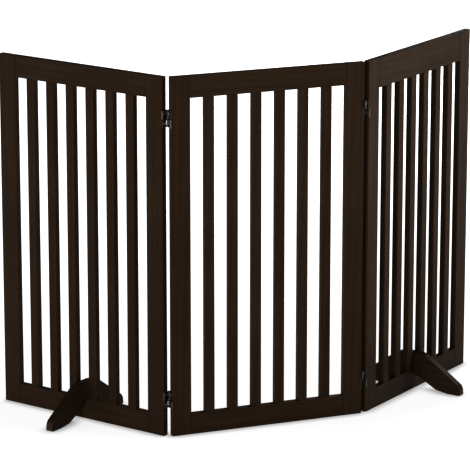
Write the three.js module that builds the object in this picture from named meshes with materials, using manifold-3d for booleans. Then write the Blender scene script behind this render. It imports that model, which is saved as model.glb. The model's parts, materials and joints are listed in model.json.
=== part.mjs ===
// Folding pet gate: three slatted wooden panels joined by double-action screen hinges,
// with a slip-on foot across the bottom rail of each side panel.
// Millimetres, +Z up, +X along the middle panel, +Y behind it. The origin is at the
// middle of the underside of the middle panel's bottom rail.

import * as THREE from 'three';
import { mergeVertices } from 'three/addons/utils/BufferGeometryUtils.js';
import Module from 'manifold-3d';

const wasm = await Module();
wasm.setup();

// ---- driving dimensions ----

const PANEL_WIDTH = 515;
const PANEL_HEIGHT = 915;
const PANEL_THICKNESS = 16;
const STILE_WIDTH = 50.5;
const TOP_RAIL_HEIGHTS = { left: 55.5, middle: 55.5, right: 76 };
const BOTTOM_RAIL_HEIGHT = 53.5;
const SLAT_COUNT = 6;
const SLAT_WIDTH = 25;

const JOINT_GAP = 0.3;          // open line at every glued shoulder
const TENON_LENGTH = 14;
const TENON_THICKNESS = 7;
const RAIL_TENON_SHOULDER = 9;  // rail height left above and below its tenon
const SLAT_TENON_SHOULDER = 4;  // slat width left on each side of its tenon

const LEFT_FOLD = THREE.MathUtils.degToRad(57.5);   // how far each side panel is folded back
const RIGHT_FOLD = THREE.MathUtils.degToRad(35);

const PANEL_GAP = 4.4;          // between the ends of two panels when the gate is flat
const HINGE_HALF_HEIGHT = 22;
const HINGE_HEIGHTS = {          // mid-heights, as the hinges were screwed on
  left: { upper: 810, lower: 93 },
  right: { upper: 796, lower: 91 },
};
const AXIS_OFFSET = 2.6;        // pin centre in front of, or behind, the panel's face
const BARREL_RADIUS = 2.2;
const BORE_RADIUS = 1.2;
const PIN_RADIUS = 1.0;
const LEAF_THICKNESS = 0.8;
const LEAF_TO_WOOD = 0.1;
const LINK_THICKNESS = 0.9;
const PLATE_MARGIN = 0.5;       // leaf and link plates stop this far inside the panel's faces
const HALF_GAP = 0.4;           // from mid-height to each half's first knuckle
const KNUCKLE_GAP = 0.3;
const LEAF_KNUCKLE = 5.2;       // height of each of a leaf's two knuckles
const SCREW_HEIGHT = 12;         // above and below a hinge's mid-height
const SCREW_ACCESS_RADIUS = 3.2;
const LEAF_HOLE_RADIUS = 1.9;
const ROUND_SEGMENTS = 16;

const FOOT_THICKNESS = 19;
const FOOT_HEIGHT = 97;
const FOOT_TOP_HALF = 36;       // half of the level top
const FOOT_HALF_LENGTH = 146;
const FOOT_END_HEIGHT = 23;
const FOOT_END_LEAN = 2;        // how far each blunt end leans in
const FOOT_PAD_INNER = 108;     // where each pad's flat stretch ends
const FOOT_ARCH_START = 74;     // where the arch begins
const FOOT_PAD_RISE = 5;        // the pad's rise from its flat stretch to the arch
const FOOT_ARCH_HEIGHT = 40;    // arch height at the notch
const FOOT_NOTCH_CLEARANCE = 0.4;
const FOOT_TOP_FILLET = 20;
const FOOT_END_FILLET = 10;
const FOOT_PAD_FILLET = 3;
const FOOT_TIP_FILLET = 5;

const wood = new THREE.MeshStandardMaterial({ color: 0x33261b, roughness: 0.55, metalness: 0 });
const hingeMetal = new THREE.MeshStandardMaterial({ color: 0x7d766b, roughness: 0.4, metalness: 1 });

// ---- derived sizes ----

const slatGap = (PANEL_WIDTH - 2 * STILE_WIDTH - SLAT_COUNT * SLAT_WIDTH) / (SLAT_COUNT + 1);
const slatPitch = SLAT_WIDTH + slatGap;
const railLength = PANEL_WIDTH - 2 * STILE_WIDTH - 2 * JOINT_GAP;
const slatTenonWidth = SLAT_WIDTH - 2 * SLAT_TENON_SHOULDER;
const axisY = PANEL_THICKNESS / 2 + AXIS_OFFSET;
const hingeX = (PANEL_WIDTH + PANEL_GAP) / 2;
const sidePanelX = PANEL_WIDTH + PANEL_GAP;

// ---- solids ----

function toSolid(geometry) {
  const bare = geometry.clone();
  bare.deleteAttribute('normal');
  bare.deleteAttribute('uv');
  const merged = mergeVertices(bare, 1e-4);
  return new wasm.Manifold(new wasm.Mesh({
    numProp: 3,
    vertProperties: new Float32Array(merged.attributes.position.array),
    triVerts: new Uint32Array(merged.index.array),
  }));
}

function toGeometry(solid) {
  const result = solid.getMesh();
  const geometry = new THREE.BufferGeometry();
  geometry.setAttribute('position', new THREE.BufferAttribute(result.vertProperties, 3));
  geometry.setIndex(new THREE.BufferAttribute(result.triVerts, 1));
  geometry.computeVertexNormals();
  return geometry;
}

function box(size, centre = [0, 0, 0]) {
  return toSolid(new THREE.BoxGeometry(...size).translate(...centre));
}

// A round bar along Z from low to high.
function bar(radius, x, y, low, high) {
  const geometry = new THREE.CylinderGeometry(radius, radius, high - low, ROUND_SEGMENTS);
  return toSolid(geometry.rotateX(Math.PI / 2).translate(x, y, (low + high) / 2));
}

// A round hole's cutter along X.
function crossHole(radius, z) {
  const geometry = new THREE.CylinderGeometry(radius, radius, 2 * PANEL_GAP, ROUND_SEGMENTS);
  return toSolid(geometry.rotateZ(Math.PI / 2).translate(0, 0, z));
}

function joined(solids) {
  return solids.reduce((whole, piece) => whole.add(piece));
}

function cut(solid, cutters) {
  return cutters.reduce((left, cutter) => left.subtract(cutter), solid);
}

function addMesh(group, name, solid, material, position = [0, 0, 0]) {
  const mesh = new THREE.Mesh(toGeometry(solid), material);
  mesh.name = name;
  mesh.position.set(...position);
  group.add(mesh);
}

// ---- panel boards ----

// The pocket for a tenon: a gap's width larger than the tenon all round.
function mortise([x, y, z], centre) {
  return box([x + 2 * JOINT_GAP, y + 2 * JOINT_GAP, z + 2 * JOINT_GAP], centre);
}

function railTenonHeight(railHeight) {
  return railHeight - 2 * RAIL_TENON_SHOULDER;
}

// A stile centred on its own width and thickness, with its foot at z = 0. Its mortises
// open towards the panel's middle, which is at +X for inward = 1.
function stile(inward, topRailHeight) {
  const board = box([STILE_WIDTH, PANEL_THICKNESS, PANEL_HEIGHT], [0, 0, PANEL_HEIGHT / 2]);
  const pocketX = inward * (STILE_WIDTH / 2 - TENON_LENGTH / 2);
  const pocket = (railHeight, z) => mortise(
    [TENON_LENGTH + 2 * JOINT_GAP, TENON_THICKNESS, railTenonHeight(railHeight)],
    [pocketX, 0, z],
  );
  return cut(board, [
    pocket(BOTTOM_RAIL_HEIGHT, BOTTOM_RAIL_HEIGHT / 2),
    pocket(topRailHeight, PANEL_HEIGHT - topRailHeight / 2),
  ]);
}

function slatCentres() {
  return Array.from({ length: SLAT_COUNT }, (_, i) => (i - (SLAT_COUNT - 1) / 2) * slatPitch);
}

// A rail centred on its own middle. The slats' mortises open towards slatSide (+1 is up).
function rail(height, slatSide) {
  const board = box([railLength, PANEL_THICKNESS, height]);
  const tenonBar = box([railLength + 2 * TENON_LENGTH, TENON_THICKNESS, railTenonHeight(height)]);
  const pocketZ = slatSide * (height / 2 - TENON_LENGTH / 2);
  const pockets = slatCentres().map((x) => mortise(
    [slatTenonWidth, TENON_THICKNESS, TENON_LENGTH + 2 * JOINT_GAP],
    [x, 0, pocketZ],
  ));
  return cut(board.add(tenonBar), pockets);
}

function slat(length) {
  const board = box([SLAT_WIDTH, PANEL_THICKNESS, length]);
  return board.add(box([slatTenonWidth, TENON_THICKNESS, length + 2 * TENON_LENGTH]));
}

function addPanel(group, name, centreX) {
  const topHeight = TOP_RAIL_HEIGHTS[name];
  const slatLength = PANEL_HEIGHT - topHeight - BOTTOM_RAIL_HEIGHT - 2 * JOINT_GAP;
  const stileX = (PANEL_WIDTH - STILE_WIDTH) / 2;
  const slatZ = BOTTOM_RAIL_HEIGHT + JOINT_GAP + slatLength / 2;
  const topZ = PANEL_HEIGHT - topHeight / 2;
  addMesh(group, `${name}_left_stile`, stile(1, topHeight), wood, [centreX - stileX, 0, 0]);
  addMesh(group, `${name}_right_stile`, stile(-1, topHeight), wood, [centreX + stileX, 0, 0]);
  addMesh(group, `${name}_bottom_rail`, rail(BOTTOM_RAIL_HEIGHT, 1), wood,
    [centreX, 0, BOTTOM_RAIL_HEIGHT / 2]);
  addMesh(group, `${name}_top_rail`, rail(topHeight, -1), wood, [centreX, 0, topZ]);
  slatCentres().forEach((x, i) => {
    addMesh(group, `${name}_slat_${i + 1}`, slat(slatLength), wood, [centreX + x, 0, slatZ]);
  });
}

// ---- feet ----

// A closed outline through corners [x, y, fillet radius], each corner rounded by an arc
// drawn as a quadratic curve.
function filletedShape(corners) {
  const shape = new THREE.Shape();
  corners.forEach(([x, y, radius], i) => {
    const here = new THREE.Vector2(x, y);
    const before = corners[(i + corners.length - 1) % corners.length];
    const after = corners[(i + 1) % corners.length];
    const towards = ([tx, ty]) => new THREE.Vector2(tx, ty).sub(here).setLength(radius).add(here);
    const start = towards(before);
    const end = towards(after);
    if (i === 0) shape.moveTo(start.x, start.y);
    else shape.lineTo(start.x, start.y);
    if (radius > 0) shape.quadraticCurveTo(x, y, end.x, end.y);
  });
  shape.closePath();
  return shape;
}

// The foot's outline across the panel: two pads, an arch between them, a notch that sits
// down over the bottom rail, and shoulders that slope from a level top to blunt ends.
function footOutline() {
  const notchHalf = PANEL_THICKNESS / 2 + FOOT_NOTCH_CLEARANCE;
  const notchTop = BOTTOM_RAIL_HEIGHT + JOINT_GAP;
  const half = [
    [notchHalf, notchTop, 0],
    [notchHalf, FOOT_ARCH_HEIGHT, 0],
    [FOOT_ARCH_START, FOOT_PAD_RISE, FOOT_PAD_FILLET],
    [FOOT_PAD_INNER, 0, FOOT_PAD_FILLET],
    [FOOT_HALF_LENGTH, 0, FOOT_TIP_FILLET],
    [FOOT_HALF_LENGTH - FOOT_END_LEAN, FOOT_END_HEIGHT, FOOT_END_FILLET],
    [FOOT_TOP_HALF, FOOT_HEIGHT, FOOT_TOP_FILLET],
  ];
  const mirrored = half.map(([x, y, radius]) => [-x, y, radius]).reverse();
  return filletedShape([...half, ...mirrored]);
}

function foot() {
  const geometry = new THREE.ExtrudeGeometry(footOutline(), {
    depth: FOOT_THICKNESS, bevelEnabled: false, curveSegments: 5,
  });
  // the outline's x and y become Y and Z, and the board's thickness runs along X
  geometry.rotateX(Math.PI / 2).rotateZ(Math.PI / 2).translate(-FOOT_THICKNESS / 2, 0, 0);
  return toSolid(geometry);
}

// ---- hinges ----
// A hinge's own origin is at its mid-height, in the middle of the gap between two panels.
// Its top half and bottom half each hold one link. hand is -1 for what is on the left-hand
// panel and 1 for the right-hand one; half is 1 for the top half and -1 for the bottom.

function spans() {
  const low = HALF_GAP;
  const high = HINGE_HALF_HEIGHT - HALF_GAP;
  return {
    whole: [low, high],
    knuckles: [[low, low + LEAF_KNUCKLE], [high - LEAF_KNUCKLE, high]],
    eye: [low + LEAF_KNUCKLE + KNUCKLE_GAP, high - LEAF_KNUCKLE - KNUCKLE_GAP],
  };
}

// A box between two x's, two y's, and a span of heights in one half.
function plate([x0, x1], [y0, y1], [z0, z1], half) {
  return box([x1 - x0, y1 - y0, z1 - z0], [(x0 + x1) / 2, (y0 + y1) / 2, half * (z0 + z1) / 2]);
}

function halfBar(radius, y, [low, high], half) {
  return half > 0 ? bar(radius, 0, y, low, high) : bar(radius, 0, y, -high, -low);
}

// A leaf: a plate on the panel's end with two front knuckles in one half and two rear
// knuckles in the other. The left-hand leaf's front knuckles are in the top half.
function leaf(hand) {
  const outer = PANEL_GAP / 2 - LEAF_TO_WOOD;
  const sides = [hand * outer, hand * (outer - LEAF_THICKNESS)].sort((a, b) => a - b);
  const plateY = PANEL_THICKNESS / 2 - PLATE_MARGIN;
  const { knuckles } = spans();
  const pieces = [plate(sides, [-plateY, plateY], [-HINGE_HALF_HEIGHT, HINGE_HALF_HEIGHT], 1)];
  const bores = [];
  for (const [y, half] of [[-axisY, -hand], [axisY, hand]]) {
    const reach = [y, 0].sort((a, b) => a - b);
    for (const knuckle of knuckles) {
      pieces.push(plate(sides, reach, knuckle, half), halfBar(BARREL_RADIUS, y, knuckle, half));
    }
    bores.push(halfBar(BORE_RADIUS, y, [0, HINGE_HALF_HEIGHT], half));
  }
  const screwHoles = [1, -1].map((half) => crossHole(LEAF_HOLE_RADIUS, half * SCREW_HEIGHT));
  return cut(joined(pieces), [...bores, ...screwHoles]);
}

// A link: a plate between the front and rear axes with an eye and a fixed pin at each.
function link(half) {
  const { whole, eye } = spans();
  const sides = [-LINK_THICKNESS / 2, LINK_THICKNESS / 2];
  const plateY = PANEL_THICKNESS / 2 - PLATE_MARGIN;
  const pieces = [
    plate(sides, [-plateY, plateY], whole, half),
    plate(sides, [-axisY, axisY], eye, half),
  ];
  for (const y of [-axisY, axisY]) {
    pieces.push(halfBar(BARREL_RADIUS, y, eye, half), halfBar(PIN_RADIUS, y, whole, half));
  }
  return cut(joined(pieces), [crossHole(SCREW_ACCESS_RADIUS, half * SCREW_HEIGHT)]);
}

// ---- assembly ----

// A group that turns with a side panel about its rear hinge axis, and whose children are
// placed as if the gate were flat.
function foldedGroup(root, side, fold) {
  const pivot = new THREE.Group();
  const flat = new THREE.Group();
  pivot.position.set(side * hingeX, axisY, 0);
  pivot.rotation.z = side * fold;
  flat.position.set(-side * hingeX, -axisY, 0);
  pivot.add(flat);
  root.add(pivot);
  return flat;
}

// The left-hand leaf carries the top link's front pin and the right-hand leaf its rear
// pin, so the link that turns with a panel folded back is the top one on the left side
// and the bottom one on the right.
function addHinges(middle, folded, sideName, side) {
  const turningHalf = -side;
  const halfNames = { 1: 'top', '-1': 'bottom' };
  for (const [level, z] of Object.entries(HINGE_HEIGHTS[sideName])) {
    const place = [side * hingeX, 0, z];
    const name = `${sideName}_${level}_hinge`;
    addMesh(folded, `${name}_outer_leaf`, leaf(side), hingeMetal, place);
    addMesh(middle, `${name}_inner_leaf`, leaf(-side), hingeMetal, place);
    addMesh(folded, `${name}_${halfNames[turningHalf]}_link`, link(turningHalf), hingeMetal, place);
    addMesh(middle, `${name}_${halfNames[-turningHalf]}_link`, link(-turningHalf), hingeMetal, place);
  }
}

function buildGate() {
  const gate = new THREE.Group();
  addPanel(gate, 'middle', 0);
  for (const [name, side, fold] of [['left', -1, LEFT_FOLD], ['right', 1, RIGHT_FOLD]]) {
    const folded = foldedGroup(gate, side, fold);
    addPanel(folded, name, side * sidePanelX);
    addHinges(gate, folded, name, side);
    addMesh(folded, `${name}_foot`, foot(), wood, [side * sidePanelX, 0, 0]);
  }
  return gate;
}

export default buildGate();
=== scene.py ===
"""Folding pet gate: materials, hinges, screws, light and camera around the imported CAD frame.

Metres, in the CAD's frame: +X along the middle panel, +Y behind it, +Z up, floor at z = 0.
"""

import json
import math

import bmesh
import bpy
from mathutils import Matrix, Vector


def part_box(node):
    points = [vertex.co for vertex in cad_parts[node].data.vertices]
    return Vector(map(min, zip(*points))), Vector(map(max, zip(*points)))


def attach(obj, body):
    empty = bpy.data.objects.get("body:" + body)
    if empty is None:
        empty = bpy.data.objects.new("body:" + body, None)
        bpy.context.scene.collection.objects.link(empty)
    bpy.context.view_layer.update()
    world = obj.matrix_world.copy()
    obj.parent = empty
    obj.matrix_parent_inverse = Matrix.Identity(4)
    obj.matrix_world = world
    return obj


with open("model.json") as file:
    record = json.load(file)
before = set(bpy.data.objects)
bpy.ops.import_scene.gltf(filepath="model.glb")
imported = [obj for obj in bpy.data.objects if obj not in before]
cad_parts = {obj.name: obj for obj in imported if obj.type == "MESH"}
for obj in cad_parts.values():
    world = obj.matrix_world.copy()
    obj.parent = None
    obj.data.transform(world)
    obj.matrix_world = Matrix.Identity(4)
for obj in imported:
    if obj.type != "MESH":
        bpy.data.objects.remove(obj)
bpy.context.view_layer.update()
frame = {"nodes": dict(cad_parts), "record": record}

MM = 0.001
JOINTS = {j["name"]: j for j in frame["record"]["behaviour"]["joints"]}
SIDES = {"left": -1, "right": 1}


def plan_angle(side):
    """How far a side panel's length is turned from the middle panel's, about +Z, at rest."""
    low = JOINTS[f"{side}_fold"]["range_deg"][0]
    return math.radians(-low * SIDES[side])


ANGLE = {"middle": 0.0, "left": plan_angle("left"), "right": plan_angle("right")}


# ---- shader helpers ----

class Nodes:
    """A material's node tree, with short calls to add nodes and join them."""

    def __init__(self, name):
        self.material = bpy.data.materials.new(name)
        self.material.use_nodes = True
        self.tree = self.material.node_tree
        self.shader = self.tree.nodes["Principled BSDF"]

    def add(self, kind, inputs=(), **settings):
        node = self.tree.nodes.new(kind)
        for key, value in settings.items():
            setattr(node, key, value)
        for key, value in dict(inputs).items():
            self.feed(node.inputs[key], value)
        return node

    def feed(self, socket, value):
        if isinstance(value, bpy.types.NodeSocket):
            self.tree.links.new(value, socket)
        else:
            socket.default_value = value

    def maths(self, operation, a, b=0.5, clamp=False):
        node = self.add("ShaderNodeMath", {0: a, 1: b}, operation=operation, use_clamp=clamp)
        return node.outputs[0]

    def noise(self, vector, scale, detail=3.0, roughness=0.5, distortion=0.0):
        node = self.add("ShaderNodeTexNoise", {
            "Vector": vector, "Scale": scale, "Detail": detail,
            "Roughness": roughness, "Distortion": distortion,
        })
        return node.outputs["Fac"]

    def ramp(self, factor, stops):
        node = self.add("ShaderNodeValToRGB", {"Fac": factor})
        ramp = node.color_ramp
        while len(ramp.elements) < len(stops):
            ramp.elements.new(0.5)
        for element, (position, colour) in zip(ramp.elements, stops):
            element.position = position
            element.color = (*colour, 1.0)
        return node.outputs["Color"]

    def scale(self, factor, low, high, new_low, new_high):
        node = self.add("ShaderNodeMapRange", {
            "Value": factor, "From Min": low, "From Max": high,
            "To Min": new_low, "To Max": new_high,
        })
        return node.outputs["Result"]

    def mix(self, blend, factor, a, b):
        node = self.add("ShaderNodeMix", data_type="RGBA", blend_type=blend)
        self.feed(node.inputs["Factor"], factor)
        for socket, value in ((node.inputs[6], a), (node.inputs[7], b)):
            self.feed(socket, value)
        return node.outputs[2]


NOISE_SPAN = (0.3, 0.7)         # where most of a noise's values lie


# ---- wood ----

STAIN_DARK = (0.0218, 0.0118, 0.0058)
STAIN_MID = (0.0262, 0.0146, 0.0075)
STAIN_LIGHT = (0.0318, 0.0184, 0.0100)
END_GRAIN = (0.0400, 0.0275, 0.0190)
BLOTCH = (0.86, 1.12)           # how far slow clouds in the stain darken and lighten it

# texture scales per metre, along the grain and across it
FIGURE_SCALE = (1.1, 26.0)
RING_SCALE = (1.6, 60.0)
FIBRE_SCALE = (14.0, 900.0)
PORE_SCALE = (60.0, 1900.0)
CLOUD_SCALE = 5.5
SHEEN_SPOT_SCALE = 40.0

# what each texture adds to the grain's tone
FIGURE_PART = 0.62
RING_PART = 0.16
FIBRE_PART = 0.22

LACQUER_ROUGHNESS = (0.44, 0.56)
LACQUER_SPECULAR = 0.06
LACQUER_TINT = (1.0, 0.86, 0.70, 1.0)
GRAIN_RELIEF = 0.4 * MM


def wood(name, turn, seed, tone):
    """Espresso-stained softwood, satin lacquered, its grain along the board.

    turn takes the row's axes to the board's, with the grain along the board's X. seed moves
    the figure, so that no two boards match, and tone is the board's own brightness.
    """
    n = Nodes(name)
    coords = n.add("ShaderNodeTexCoord")
    board = n.add("ShaderNodeVectorRotate", {
        "Vector": coords.outputs["Object"], "Rotation": turn,
    }, rotation_type="EULER_XYZ").outputs[0]
    facing = n.add("ShaderNodeVectorRotate", {
        "Vector": coords.outputs["Normal"], "Rotation": turn,
    }, rotation_type="EULER_XYZ").outputs[0]

    def stretched(along, across):
        node = n.add("ShaderNodeMapping", {
            "Vector": board,
            "Location": (seed * 3.7, seed * 1.9, seed * 2.3),
            "Scale": (along, across, across),
        })
        return node.outputs[0]

    figure = n.noise(stretched(*FIGURE_SCALE), 1.0, detail=4.0, roughness=0.55, distortion=0.7)
    rings = n.add("ShaderNodeTexWave", {
        "Vector": stretched(*RING_SCALE), "Scale": 0.55, "Distortion": 7.0, "Detail": 3.0,
        "Detail Scale": 0.8, "Detail Roughness": 0.6,
    }, wave_type="BANDS", bands_direction="DIAGONAL").outputs["Fac"]
    fibres = n.noise(stretched(*FIBRE_SCALE), 1.0, detail=3.0, roughness=0.7)
    pores = n.noise(stretched(*PORE_SCALE), 1.0, detail=2.0, roughness=0.6)
    clouds = n.noise(board, CLOUD_SCALE, detail=2.0, roughness=0.5)

    grain = n.maths("ADD", n.maths("MULTIPLY", figure, FIGURE_PART),
                    n.maths("MULTIPLY", rings, RING_PART))
    grain = n.maths("ADD", grain, n.maths("MULTIPLY", fibres, FIBRE_PART))
    colour = n.ramp(grain, ((0.33, STAIN_DARK), (0.5, STAIN_MID), (0.68, STAIN_LIGHT)))
    blotch = n.scale(clouds, *NOISE_SPAN, BLOTCH[0] * tone, BLOTCH[1] * tone)
    tint = n.add("ShaderNodeCombineColor", {0: blotch, 1: blotch, 2: blotch}).outputs[0]
    colour = n.mix("MULTIPLY", 1.0, colour, tint)
    # pores are the peaks of their noise, half filled with dark stain
    pore_mask = n.scale(pores, 0.6, 0.72, 0.0, 0.5)
    colour = n.mix("MIX", pore_mask, colour, (*STAIN_DARK, 1.0))

    # faces nearly square to the grain show end grain
    along_grain = n.add("ShaderNodeSeparateXYZ", {0: facing}).outputs[0]
    end_mask = n.scale(n.maths("ABSOLUTE", along_grain), 0.75, 0.95, 0.0, 0.85)
    colour = n.mix("MIX", end_mask, colour, (*END_GRAIN, 1.0))
    n.feed(n.shader.inputs["Base Color"], colour)

    sheen_spots = n.noise(board, SHEEN_SPOT_SCALE, detail=3.0, roughness=0.6)
    rough = n.scale(sheen_spots, *NOISE_SPAN, *LACQUER_ROUGHNESS)
    rough = n.maths("ADD", rough, n.maths("MULTIPLY", fibres, 0.08), clamp=True)
    n.feed(n.shader.inputs["Roughness"], rough)

    relief = n.maths("ADD", n.maths("MULTIPLY", fibres, 0.5), n.maths("MULTIPLY", figure, 0.5))
    relief = n.maths("SUBTRACT", relief, n.maths("MULTIPLY", pore_mask, 0.4))
    bump = n.add("ShaderNodeBump", {
        "Strength": 0.22, "Distance": GRAIN_RELIEF, "Height": relief,
    })
    n.feed(n.shader.inputs["Normal"], bump.outputs[0])
    n.feed(n.shader.inputs["Specular IOR Level"], LACQUER_SPECULAR)
    n.feed(n.shader.inputs["Specular Tint"], LACQUER_TINT)
    return n.material


def grain_turn(node):
    """The Euler turn from the row's axes to a board's own, with the grain along X."""
    panel = node.split("_")[0]
    if node.endswith("foot"):
        return (0.0, 0.0, -ANGLE[panel] - math.pi / 2)
    if node.endswith("rail"):
        return (0.0, 0.0, -ANGLE[panel])
    return (0.0, math.pi / 2, 0.0)


EASED_EDGE = 1.1 * MM
FOOT_EDGE = 2.2 * MM
WELD_DISTANCE = 0.001 * MM
SEED_STEP = 0.754877666         # steps that spread the boards' seeds and tones evenly
TONE_STEP = 0.569840291
TONE_LOW = 0.92
TONE_SPAN = 0.16


def ease_edges(obj, radius, angle=35.0):
    """Rounds a board's sharp edges by modifiers, which leave the CAD's mesh as it is."""
    for attribute in [a for a in obj.data.attributes if a.name == "custom_normal"]:
        obj.data.attributes.remove(attribute)
    obj.data.polygons.foreach_set("use_smooth", [True] * len(obj.data.polygons))
    weld = obj.modifiers.new("weld", "WELD")
    weld.merge_threshold = WELD_DISTANCE
    bevel = obj.modifiers.new("eased_edges", "BEVEL")
    bevel.width = radius
    bevel.segments = 3
    bevel.limit_method = "ANGLE"
    bevel.angle_limit = math.radians(angle)
    bevel.harden_normals = True
    bevel.use_clamp_overlap = True


def dress_boards():
    """Gives each board and foot its own piece of wood, with eased edges."""
    boards = sorted(name for name in frame["nodes"] if "hinge" not in name)
    for i, name in enumerate(boards, start=1):
        obj = frame["nodes"][name]
        seed = math.fmod(i * SEED_STEP, 1.0)
        tone = TONE_LOW + TONE_SPAN * math.fmod(i * TONE_STEP, 1.0)
        material = wood(f"stained_wood_{name}", grain_turn(name), 10.0 * seed, tone)
        obj.data.materials.clear()
        obj.data.materials.append(material)
        ease_edges(obj, FOOT_EDGE if name.endswith("foot") else EASED_EDGE)


# ---- metal ----

NICKEL_DARK = (0.055, 0.048, 0.040)
NICKEL_LIGHT = (0.105, 0.094, 0.080)
NICKEL_ROUGHNESS = (0.26, 0.38)
SCREW_DARK = (0.56, 0.54, 0.50)
SCREW_LIGHT = (0.72, 0.70, 0.66)
SCREW_ROUGHNESS = (0.22, 0.34)
HINGE_EDGE = 0.15 * MM
HINGE_BEVEL_ANGLE = 40.0        # degrees, so that the facets of round parts stay as they are


def hinge_metal():
    """Antique nickel plate: satin and a little mottled."""
    n = Nodes("antique_nickel")
    coords = n.add("ShaderNodeTexCoord").outputs["Object"]
    speckle = n.noise(coords, 1400.0, detail=3.0)
    patches = n.noise(coords, 160.0, detail=3.0, roughness=0.6)
    colour = n.ramp(patches, ((0.3, NICKEL_DARK), (0.7, NICKEL_LIGHT)))
    n.feed(n.shader.inputs["Base Color"], colour)
    n.feed(n.shader.inputs["Metallic"], 1.0)
    n.feed(n.shader.inputs["Roughness"], n.scale(speckle, *NOISE_SPAN, *NICKEL_ROUGHNESS))
    bump = n.add("ShaderNodeBump", {"Strength": 0.1, "Distance": 0.1 * MM, "Height": speckle})
    n.feed(n.shader.inputs["Normal"], bump.outputs[0])
    return n.material


def screw_metal():
    """Bright plated screws with faint turning marks."""
    n = Nodes("bright_nickel")
    coords = n.add("ShaderNodeTexCoord").outputs["Object"]
    marks = n.noise(coords, 2500.0, detail=2.0)
    colour = n.ramp(marks, ((0.3, SCREW_DARK), (0.7, SCREW_LIGHT)))
    n.feed(n.shader.inputs["Base Color"], colour)
    n.feed(n.shader.inputs["Metallic"], 1.0)
    n.feed(n.shader.inputs["Roughness"], n.scale(marks, *NOISE_SPAN, *SCREW_ROUGHNESS))
    return n.material


def dress_hinges():
    metal = hinge_metal()
    for name, obj in frame["nodes"].items():
        if "hinge" in name:
            obj.data.materials.clear()
            obj.data.materials.append(metal)
            ease_edges(obj, HINGE_EDGE, HINGE_BEVEL_ANGLE)


# ---- hinge screws ----

SCREW_RISE = 12 * MM           # above and below a hinge's mid-height
LEAF_FACE = 1.3 * MM           # from the hinge's middle plane to each leaf's open face
HEAD_RADIUS = 2.9 * MM
HEAD_RISE = 0.6 * MM
SHANK_RADIUS = 1.5 * MM
SHANK_LENGTH = 0.85 * MM
RECESS_WIDTH = 0.7 * MM
RECESS_LENGTH = 3.0 * MM
RECESS_DEPTH = 0.4 * MM
RECESS_TAPER = 0.45            # a recess bar's length at its bottom, against its top
RIM_RADIUS = 0.97 * HEAD_RADIUS
RIM_SHARE = 0.35               # of the head's rise that is its upright rim
SCREW_SEGMENTS = 40
SCREW_CREASE = math.radians(35)


def revolved(name, profile):
    """A mesh turned about +Z from (radius, height) points that start and end on the axis."""
    bm = bmesh.new()
    points = [bm.verts.new((r, 0.0, z)) for r, z in profile]
    edges = [bm.edges.new(pair) for pair in zip(points, points[1:])]
    bmesh.ops.spin(bm, geom=points + edges, cent=(0, 0, 0), axis=(0, 0, 1),
                   angle=2 * math.pi, steps=SCREW_SEGMENTS, use_duplicate=False)
    bmesh.ops.remove_doubles(bm, verts=bm.verts[:], dist=1e-7)
    bmesh.ops.recalc_face_normals(bm, faces=bm.faces[:])
    mesh = bpy.data.meshes.new(name)
    bm.to_mesh(mesh)
    bm.free()
    return mesh


def cross_cutter():
    """Two crossed bars that narrow downwards, for a cross recess in a head along +Z."""
    bm = bmesh.new()
    for turn in (0.0, math.pi / 2):
        made = bmesh.ops.create_cube(bm, size=1.0)
        size = Matrix.Diagonal((RECESS_LENGTH, RECESS_WIDTH, 2 * RECESS_DEPTH, 1.0))
        bmesh.ops.transform(bm, matrix=size, verts=made["verts"])
        for vert in made["verts"]:
            if vert.co.z < 0:
                vert.co.x *= RECESS_TAPER
        bmesh.ops.rotate(bm, verts=made["verts"], matrix=Matrix.Rotation(turn, 3, "Z"))
    mesh = bpy.data.meshes.new("cross_cutter")
    bm.to_mesh(mesh)
    bm.free()
    return mesh


def screw_mesh(material):
    """A domed screw along +Z, its head's underside at z = 0, with a cross recess cut in it."""
    dome = [(HEAD_RADIUS * math.cos(a), HEAD_RISE * (RIM_SHARE + (1 - RIM_SHARE) * math.sin(a)))
            for a in (math.radians(15 * i) for i in range(6))]
    profile = [(0.0, -SHANK_LENGTH), (SHANK_RADIUS, -SHANK_LENGTH), (SHANK_RADIUS, 0.0),
               (RIM_RADIUS, 0.0), *dome, (0.0, HEAD_RISE)]
    body = bpy.data.objects.new("screw_blank", revolved("screw_blank", profile))
    cutter = bpy.data.objects.new("screw_cutter", cross_cutter())
    cutter.location.z = HEAD_RISE
    for obj in (body, cutter):
        bpy.context.scene.collection.objects.link(obj)
    boolean = body.modifiers.new("recess", "BOOLEAN")
    boolean.object = cutter
    boolean.operation = "DIFFERENCE"
    boolean.solver = "EXACT"
    boolean.use_self = True
    bpy.context.view_layer.update()
    graph = bpy.context.evaluated_depsgraph_get()
    mesh = bpy.data.meshes.new_from_object(body.evaluated_get(graph))
    mesh.name = "hinge_screw"
    mesh.materials.clear()
    mesh.materials.append(material)
    mesh.polygons.foreach_set("use_smooth", [True] * len(mesh.polygons))
    mesh.set_sharp_from_angle(angle=SCREW_CREASE)
    for obj in (body, cutter):
        bpy.data.objects.remove(obj)
    return mesh


def screw_place(x, z, towards, name, rise):
    """Where a screw goes while the gate is flat: at x and z in a gap, its head facing the gap.

    towards is +1 for a leaf on the gap's +X side, and -1 for one on its -X side. Each recess
    stops at an angle of its own.
    """
    place = Matrix.Translation((x + towards * LEAF_FACE, 0.0, z + rise))
    facing = Matrix.Rotation(-towards * math.pi / 2, 4, "Y")
    stop = math.radians(17.0 * len(name) + 31.0 * rise / MM)
    return place @ facing @ Matrix.Rotation(stop, 4, "Z")


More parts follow.
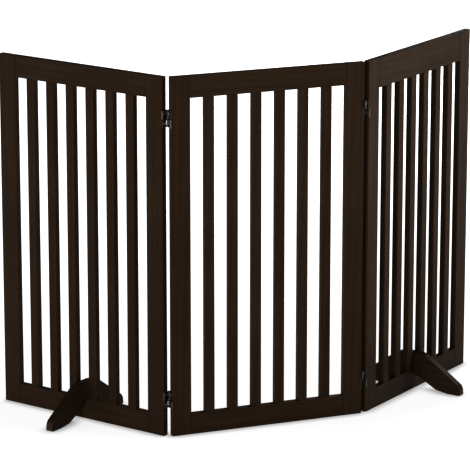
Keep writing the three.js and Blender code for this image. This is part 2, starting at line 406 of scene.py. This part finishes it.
def add_screws():
    """Two screws through each leaf, their heads facing the gap between the panels."""
    mesh = screw_mesh(screw_metal())
    for side, hand in SIDES.items():
        pivot = Vector(JOINTS[f"{side}_fold"]["pos_m"])
        fold = (Matrix.Translation(pivot) @ Matrix.Rotation(ANGLE[side], 4, "Z")
                @ Matrix.Translation(-pivot))
        leaves = (
            ("inner", -hand, "middle_panel", Matrix.Identity(4)),
            ("outer", hand, f"{side}_panel", fold),
        )
        for level in ("upper", "lower"):
            low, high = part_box(f"{side}_{level}_hinge_inner_leaf")
            mid_height = (low[2] + high[2]) / 2
            for leaf, towards, body, turn in leaves:
                for end, rise in (("top", SCREW_RISE), ("bottom", -SCREW_RISE)):
                    name = f"{side}_{level}_hinge_{leaf}_{end}_screw"
                    screw = bpy.data.objects.new(name, mesh)
                    place = screw_place(pivot.x, mid_height, towards, name, rise)
                    screw.matrix_world = turn @ place
                    bpy.context.scene.collection.objects.link(screw)
                    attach(screw, body)


# ---- stage, light and camera ----

FLOOR_REACH = 60.0
FLOOR_DROP = 0.2 * MM           # below z = 0, so that it does not share the boards' faces
FLOOR_SHADES = ((0.60,) * 3, (0.64,) * 3)
GLOW_DISTANCES = (0.8, 1.6)     # from the origin, where the glow starts and stops rising
GLOW_STRENGTHS = (0.80, 1.02)
# painted contact shadow: within this reach of a board, ambient occlusion dims the floor's glow
PAINTED_SHADOW_REACH = 0.03
PAINTED_SHADOW_GLOW = 0.42             # what is left of the glow against a board


def floor():
    """A pale, softly lit floor that glows: the glow rises to white away from the gate, and
    sinks close to it, where a painted contact shadow dims it further against the boards.
    """
    n = Nodes("pale_floor")
    coords = n.add("ShaderNodeTexCoord").outputs["Object"]
    mottle = n.noise(coords, 3.0, detail=2.0)
    shade = n.ramp(mottle, ((0.0, FLOOR_SHADES[0]), (1.0, FLOOR_SHADES[1])))
    n.feed(n.shader.inputs["Base Color"], shade)
    n.feed(n.shader.inputs["Roughness"], 0.9)
    n.feed(n.shader.inputs["Specular IOR Level"], 0.0)
    n.feed(n.shader.inputs["Emission Color"], (1.0, 1.0, 1.0, 1.0))
    distance = n.add("ShaderNodeVectorMath", {0: coords}, operation="LENGTH").outputs["Value"]
    glow = n.scale(distance, *GLOW_DISTANCES, *GLOW_STRENGTHS)
    # painted contact shadow: ambient occlusion darkens the floor's glow close to the boards
    openness = n.add("ShaderNodeAmbientOcclusion", {"Distance": PAINTED_SHADOW_REACH}).outputs["AO"]
    painted_contact_shadow = n.scale(openness, 0.5, 1.0, PAINTED_SHADOW_GLOW, 1.0)
    n.feed(n.shader.inputs["Emission Strength"], n.maths("MULTIPLY", glow, painted_contact_shadow))
    mesh = bpy.data.meshes.new("floor")
    reach = FLOOR_REACH
    corners = [(-reach, -reach, 0), (reach, -reach, 0), (reach, reach, 0), (-reach, reach, 0)]
    mesh.from_pydata(corners, [], [(0, 1, 2, 3)])
    obj = bpy.data.objects.new("floor", mesh)
    obj.location.z = -FLOOR_DROP
    mesh.materials.append(n.material)
    bpy.context.scene.collection.objects.link(obj)


WORLD_STRENGTH = 0.10
# name, place, target, width and height, power in watts, and spread in degrees. The right one
# is gridded and aims high, so the right panel darkens downwards.
SOFTBOXES = (
    ("left_softbox", (-3.3, -2.8, 1.1), (0.0, 0.1, 0.45), (1.6, 2.0), 106, 180.0),
    ("right_softbox", (3.9, -1.5, 1.1), (0.45, 0.15, 0.95), (1.6, 1.0), 11.5, 38.0),
    ("left_rear_softbox", (-4.6, 0.9, 0.9), (0.2, 0.2, 0.45), (1.2, 1.6), 42, 180.0),
    ("right_rear_softbox", (3.6, 3.6, 1.2), (0.0, 0.2, 0.45), (1.6, 1.6), 230, 180.0),
)


def area_light(name, place, target, size, power, spread):
    data = bpy.data.lights.new(name, "AREA")
    data.shape = "RECTANGLE"
    data.size, data.size_y = size
    data.energy = power
    data.spread = math.radians(spread)
    obj = bpy.data.objects.new(name, data)
    obj.location = place
    direction = Vector(target) - Vector(place)
    obj.rotation_euler = direction.to_track_quat("-Z", "Y").to_euler()
    bpy.context.scene.collection.objects.link(obj)


def lighting():
    world = bpy.data.worlds.new("studio")
    world.use_nodes = True
    background = world.node_tree.nodes["Background"]
    background.inputs["Color"].default_value = (1.0, 1.0, 1.0, 1.0)
    background.inputs["Strength"].default_value = WORLD_STRENGTH
    bpy.context.scene.world = world
    for softbox in SOFTBOXES:
        area_light(*softbox)


CAMERA_PLACE = (-2.778, -6.753, 2.386)
CAMERA_YAW = math.radians(21.73)
CAMERA_PITCH = math.radians(14.53)
CAMERA_LENS = 231.96


def camera():
    data = bpy.data.cameras.new("camera")
    data.sensor_width = 36.0
    data.lens = CAMERA_LENS
    data.clip_end = 200.0
    obj = bpy.data.objects.new("camera", data)
    obj.location = CAMERA_PLACE
    obj.rotation_euler = (math.pi / 2 - CAMERA_PITCH, 0.0, -CAMERA_YAW)
    bpy.context.scene.collection.objects.link(obj)
    bpy.context.scene.camera = obj


def colour_management():
    view = bpy.context.scene.view_settings
    view.view_transform = "Standard"
    view.look = "None"
    view.exposure = 0.0
    view.gamma = 0.8


dress_boards()
dress_hinges()
add_screws()
floor()
lighting()
camera()
colour_management()
